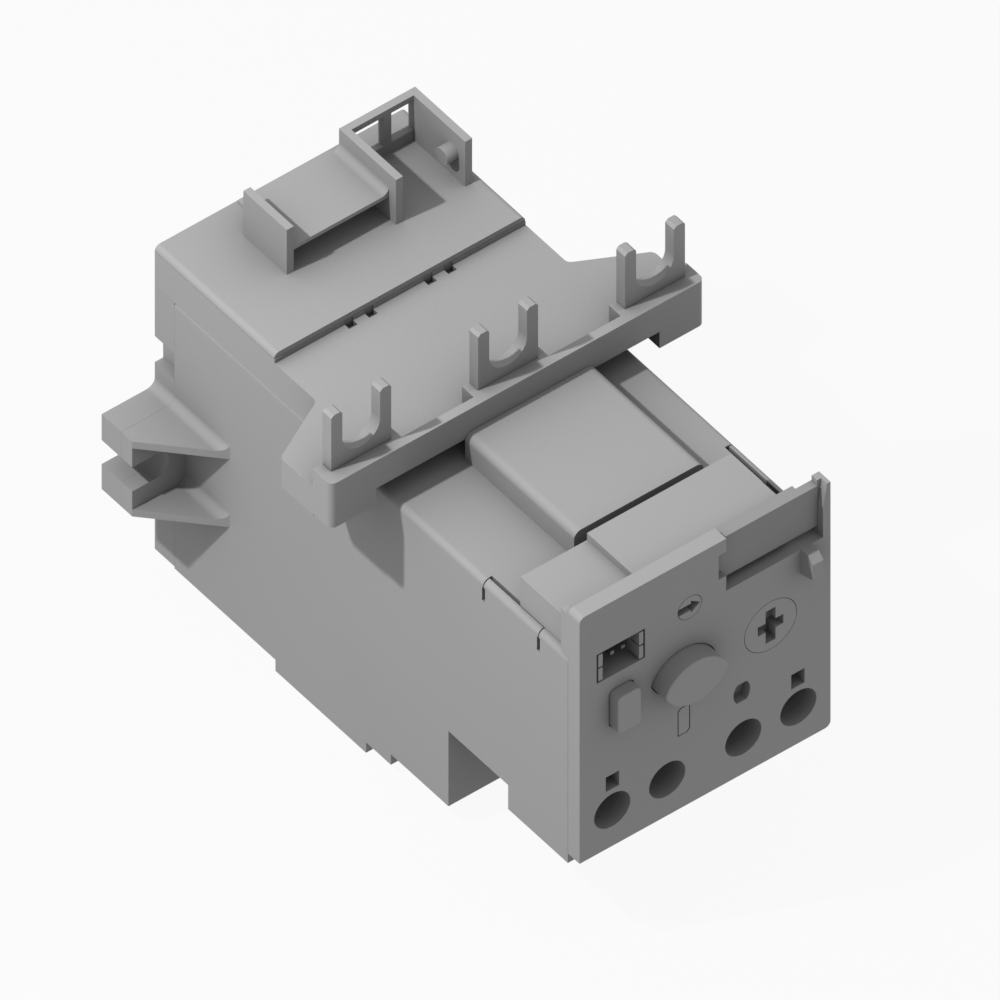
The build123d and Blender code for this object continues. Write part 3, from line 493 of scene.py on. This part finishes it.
def thread(mesh, core, crest, pitch, start, turns, steps_per_turn=24):
    """A ridge that climbs round the core as a helix."""
    root = core - thread_root
    foot = 0.42 * pitch
    tip = 0.06 * pitch
    corners = [mesh.verts.new((radius, start + offset, 0))
               for radius, offset in ((root, -foot), (crest, -tip), (crest, tip), (root, foot))]
    tooth = mesh.faces.new(corners)
    steps = round(turns * steps_per_turn)
    bmesh.ops.spin(mesh, geom=[tooth] + list(tooth.edges) + corners, cent=(0, 0, 0), axis=(0, 1, 0),
                   angle=tau * turns, dvec=(0, pitch / steps_per_turn, 0), steps=steps)


print("threads can be wound")

# %% [markdown]
# The record of the construction model gives the axis of each of these screws, because the hole in
# front of it is a mount. The screws of a kind are one piece there, so each one is moved to its axis
# and added to the mesh of its row. A finished mesh becomes an object that rides on the housing, and
# it stands for a plain node where one is named.

# %% Rows and finished pieces
def axes_of(mounts):
    """The places of the mounts in the record whose names start with a word."""
    return [Vector(m["pos_m"]) for m in frame["record"]["mounts"] if m["name"].startswith(mounts)]


def stored(name, mesh):
    """Store a mesh under a name and free its working copy."""
    data = bpy.data.meshes.new(name)
    mesh.to_mesh(data)
    mesh.free()
    return data


def add_to_row(row, screw, axis, depth):
    """Move a screw to its own axis and add it to the mesh of its row."""
    bmesh.ops.translate(screw, verts=screw.verts, vec=(axis.x, depth, axis.z))
    copy = stored("one screw", screw)
    row.from_mesh(copy)
    bpy.data.meshes.remove(copy)


def finished(name, mesh, node, slot):
    """Make an object of a mesh, in the place of a construction node where one is named."""
    bmesh.ops.recalc_face_normals(mesh, faces=mesh.faces)
    data = stored(name, mesh)
    data.materials.append(finishes[slot])
    piece = bpy.data.objects.new(name, data)
    bpy.context.scene.collection.objects.link(piece)
    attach(piece, "housing")
    if node:
        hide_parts(node)
    print(name, len(data.polygons), "faces")
    return piece


print("rows can be filled")

# %% [markdown]
# The four auxiliary screws stand on the axes of the four access holes. Their length comes from the
# plain screws that they replace, and the rest suits a screw of 3 mm.

# %% Measures of the auxiliary screws
aux_low, aux_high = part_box("aux_screws")
aux_axes = axes_of("aux_screw_access")
aux_head = 2.7 * mm
aux_face = 0.86 * aux_head
aux_bevel = 0.95 * aux_head
aux_bevel_depth = 0.1 * mm
aux_rim_depth = 0.45 * mm
aux_head_depth = 1.6 * mm
aux_core = 1.22 * mm
aux_crest = 1.5 * mm
aux_pitch = 0.6 * mm
aux_point = 0.6 * aux_core
aux_point_length = 0.4 * mm
thread_gap = 0.4 * mm
aux_bare_end = 0.5 * mm
cross_half = 0.45 * mm
cross_reach = 1.75 * mm
cross_depth = 0.9 * mm

aux_length = aux_high.y - aux_low.y
print(len(aux_axes), "screws of", round(aux_length / mm, 2), "mm")

# %% [markdown]
# Four planes each way score the cross, and everything inside it is pushed in. The thread stops
# short of the head and of the point, as on a real screw.

# %% Auxiliary screws
def in_cross(point):
    """Whether a point of the head is inside the cross recess."""
    less, more = sorted((abs(point.x), abs(point.z)))
    return less < cross_half and more < cross_reach


aux_outline = [(0, 0), (aux_face, 0), (aux_bevel, aux_bevel_depth), (aux_head, aux_rim_depth),
               (aux_head, aux_head_depth), (aux_core, aux_head_depth),
               (aux_core, aux_length - aux_point_length), (aux_point, aux_length), (0, aux_length)]
aux_thread_start = aux_head_depth + thread_gap
aux_thread_length = aux_length - aux_thread_start - aux_bare_end
aux_screws = bmesh.new()
for axis in aux_axes:
    screw = bmesh.new()
    spun_outline(screw, aux_outline)
    for across in ((1, 0, 0), (0, 0, 1)):
        cut_lines(screw, across, (-cross_reach, -cross_half, cross_half, cross_reach))
    push_in(screw, in_cross, cross_depth)
    thread(screw, aux_core, aux_crest, aux_pitch, aux_thread_start, aux_thread_length / aux_pitch)
    add_to_row(aux_screws, screw, axis, aux_low.y)
finished("threaded_aux_screws", aux_screws, "aux_screws", "screw_metal")

# %% [markdown]
# Under each screw head lies a plate that presses the wire on its contact strip, with a hole for
# the screw. The hole goes through ridges, where no flat face is left to score and push in, so it is
# cut with a Boolean. The exact solver also copes with faces that overlap.

# %% Drilling
def boolean_cut(data, cutter):
    """Cut one mesh out of another and give the result as a new mesh."""
    target = bpy.data.objects.new("target", data)
    tool = bpy.data.objects.new("tool", cutter)
    for item in (target, tool):
        bpy.context.scene.collection.objects.link(item)
    modifier = target.modifiers.new("cut", "BOOLEAN")
    modifier.operation = "DIFFERENCE"
    modifier.solver = "EXACT"
    modifier.object = tool
    bpy.context.view_layer.update()
    graph = bpy.context.evaluated_depsgraph_get()
    result = bpy.data.meshes.new_from_object(target.evaluated_get(graph))
    for item in (target, tool):
        mesh = item.data
        bpy.data.objects.remove(item)
        bpy.data.meshes.remove(mesh)
    return result


print("holes can be drilled")

# %% [markdown]
# The back of the plate is ridged so that the wire can't slip out. The ridged outline is one face,
# drawn from the side and extruded across the plate.

# %% One ridged plate
plate_low, plate_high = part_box("aux_clamp_plates")
plate_width = 6.0 * mm
ridge_count = 8
ridge_depth = 0.25 * mm


def ridged_plate():
    """A plate with its left side at x = 0 and with ridges on its back."""
    ridge_height = (plate_high.z - plate_low.z) / ridge_count
    valley = plate_high.y - ridge_depth
    profile = [(plate_low.y, plate_low.z), (plate_low.y, plate_high.z)]
    for step in range(ridge_count, 0, -1):
        top = plate_low.z + step * ridge_height
        profile += [(valley, top), (plate_high.y, top - ridge_height / 2)]
    profile.append((valley, plate_low.z))
    plate = bmesh.new()
    face = plate.faces.new([plate.verts.new((0, depth, level)) for depth, level in profile])
    grow(plate, [face], (plate_width, 0, 0), keep=True)
    return plate


print(ridge_count, "ridges on a plate")

# %% [markdown]
# All four plates are one piece in the construction model. So each is made, moved to its screw,
# drilled and added to one mesh.

# %% Ridged wire plates
plate_hole_radius = 1.6 * mm
drill_length = 4 * mm
drill_segments = 32

wire_plates = bmesh.new()
for axis in aux_axes:
    plate = ridged_plate()
    bmesh.ops.translate(plate, verts=plate.verts, vec=(axis.x - plate_width / 2, 0, 0))
    bmesh.ops.recalc_face_normals(plate, faces=plate.faces)
    drill = bmesh.new()
    turn = Matrix.Translation((axis.x, plate_low.y, axis.z)) @ Matrix.Rotation(pi / 2, 4, "X")
    bmesh.ops.create_cone(drill, cap_ends=True, segments=drill_segments, radius1=plate_hole_radius,
                          radius2=plate_hole_radius, depth=drill_length, matrix=turn)
    drilled = boolean_cut(stored("one plate", plate), stored("drill", drill))
    wire_plates.from_mesh(drilled)
    bpy.data.meshes.remove(drilled)
finished("ridged_wire_plates", wire_plates, "aux_clamp_plates", "screw_metal")

# %% [markdown]
# Each of the three load screws goes through the front wall of its box clamp and presses the wire
# on the copper strip behind it. They are shorter and have a single slot. Their heads look forward,
# below the auxiliary terminals, where a long driver reaches them through three holes.

# %% Load screws
load_low, load_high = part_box("load_screws")
load_axes = axes_of("load_screw_access")
load_head = 2.2 * mm
load_face = 0.9 * load_head
load_bevel_depth = 0.2 * mm
load_head_depth = 1.0 * mm
load_core = 1.22 * mm
load_crest = 1.5 * mm
load_pitch = 0.7 * mm
load_point = 0.7 * load_core
load_point_length = 0.3 * mm
load_bare_end = 0.4 * mm
slot_half = 0.3 * mm
slot_depth = 0.5 * mm


def in_slot(point):
    """Whether a point of the head is inside the driver's slot."""
    return abs(point.z) < slot_half


load_length = load_high.y - load_low.y
load_outline = [(0, 0), (load_face, 0), (load_head, load_bevel_depth), (load_head, load_head_depth),
                (load_core, load_head_depth), (load_core, load_length - load_point_length),
                (load_point, load_length), (0, load_length)]
load_thread_start = load_head_depth + thread_gap
load_thread_length = load_length - load_thread_start - load_bare_end
load_screws = bmesh.new()
for axis in load_axes:
    screw = bmesh.new()
    spun_outline(screw, load_outline)
    cut_lines(screw, (0, 0, 1), (-slot_half, slot_half))
    push_in(screw, in_slot, slot_depth)
    thread(screw, load_core, load_crest, load_pitch, load_thread_start, load_thread_length / load_pitch)
    add_to_row(load_screws, screw, axis, load_low.y)
finished("threaded_load_screws", load_screws, "load_screws", "screw_metal")

# %% [markdown]
# Two compression springs push the buttons out again. Such a spring is wound of round wire, and its
# last turn at each end lies close, so that the spring stands square. A circle of wire is spun
# round the axis, with a small step along it for the close turns and a larger one between them.

# %% Button springs
wire_radius = {"reset_spring": 0.25 * mm, "test_spring": 0.2 * mm}
open_turns = {"reset_spring": 6, "test_spring": 4}
spring_steps = 24
wire_segments = 8
close_step = 2.1


def wound_spring(name, node, joint_name):
    """A compression spring with closed ends, in the place of a plain one."""
    low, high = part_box(node)
    wire = wire_radius[node]
    turns = open_turns[node]
    close_pitch = close_step * wire
    length = high.y - low.y
    open_pitch = (length - 2 * wire - 2 * close_pitch) / turns
    coil_radius = (high.x - low.x) / 2 - wire
    spring = bmesh.new()
    bmesh.ops.create_circle(spring, cap_ends=True, segments=wire_segments, radius=wire,
                            matrix=Matrix.Translation((coil_radius, wire, 0)))
    section = list(spring.verts) + list(spring.edges) + list(spring.faces)
    for count, pitch in ((1, close_pitch), (turns, open_pitch), (1, close_pitch)):
        wound = bmesh.ops.spin(spring, geom=section, cent=(0, 0, 0), axis=(0, 1, 0), angle=tau * count,
                               dvec=(0, pitch / spring_steps, 0), steps=count * spring_steps)
        section = wound["geom_last"]
    middle = (low + high) / 2
    bmesh.ops.translate(spring, verts=spring.verts, vec=(middle.x, low.y, middle.z))
    for face in spring.faces:
        face.smooth = len(face.verts) == 4
    piece = finished(name, spring, node, "spring_steel")
    travel = next(j for j in frame["joints"] if j["name"] == joint_name)["range_m"][1]
    (length - travel) / length
    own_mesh(piece)
    print(name, "is", round(length / mm, 2), "mm long and gives way by", round(travel / mm, 2), "mm")


wound_spring("wound_reset_spring", "reset_spring", "reset_press")
wound_spring("wound_test_spring", "test_spring", "test_press")

# %% [markdown]
# The cover behind the control block is a thin tray that is open below. Its two long edges are
# rounded, while the front edge stays square where it meets the block. So a box gets a bevel on
# its long edges alone, and its underside is inset by the wall and pushed up to hollow it.

# %% Middle cover
cover_low, cover_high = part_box("mid_cover")
cover_round = 1.3 * mm
cover_wall = 1.5 * mm
cover_segments = 12
cover_room = cover_high.z - cover_low.z - cover_wall

cover = bmesh.new()
cover_size = Matrix.Diagonal((*(cover_high - cover_low), 1))
bmesh.ops.create_cube(cover, size=1, matrix=Matrix.Translation((cover_low + cover_high) / 2) @ cover_size)
long_edges = [e for e in cover.edges
              if all(v.co.z > cover_high.z - near for v in e.verts)
              and abs(e.verts[0].co.x - e.verts[1].co.x) < near]
bmesh.ops.bevel(cover, geom=long_edges, offset=cover_round, offset_type="OFFSET",
                segments=cover_segments, profile=0.5, affect="EDGES", material=-1)
under = [f for f in cover.faces if f.normal.z < -facing]
bmesh.ops.inset_region(cover, faces=under, thickness=cover_wall, use_even_offset=True)
grow(cover, under, (0, 0, cover_room))
finished("square_fronted_cover", cover, "mid_cover", "housing")

# %% [markdown]
# The front plate and the back plate close the housing. A moulded shell has a thin tongue inside
# its walls at such a seam, which keeps light and dust out. Each tongue here is a flat bar inside
# a side wall, with one half on each side of the seam.

# %% Tongues in the seams
tongue_reach = 0.5 * mm
tongue_outer = 1.55 * mm
tongue_inner = 1.85 * mm
tongue_end = 0.15 * mm
front_tongue_top = 45 * mm

front_low, front_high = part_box("front_plate")
back_low, back_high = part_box("back_plate")
front_seam = (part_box("main_housing")[0].y, front_low.z, front_tongue_top)
back_seam = (back_low.y, back_low.z, back_high.z)
tongue_thickness = tongue_inner - tongue_outer
tongue_side = front_high.x - (tongue_outer + tongue_inner) / 2
tongues = bmesh.new()
for depth, bottom, top in (front_seam, back_seam):
    for side in (-1, 1):
        place = Matrix.Translation((side * tongue_side, depth, (top + bottom) / 2))
        size = Matrix.Diagonal((tongue_thickness, 2 * tongue_reach, top - bottom - 2 * tongue_end, 1))
        bmesh.ops.create_cube(tongues, size=1, matrix=place @ size)
finished("seam_tongues", tongues, None, "housing")
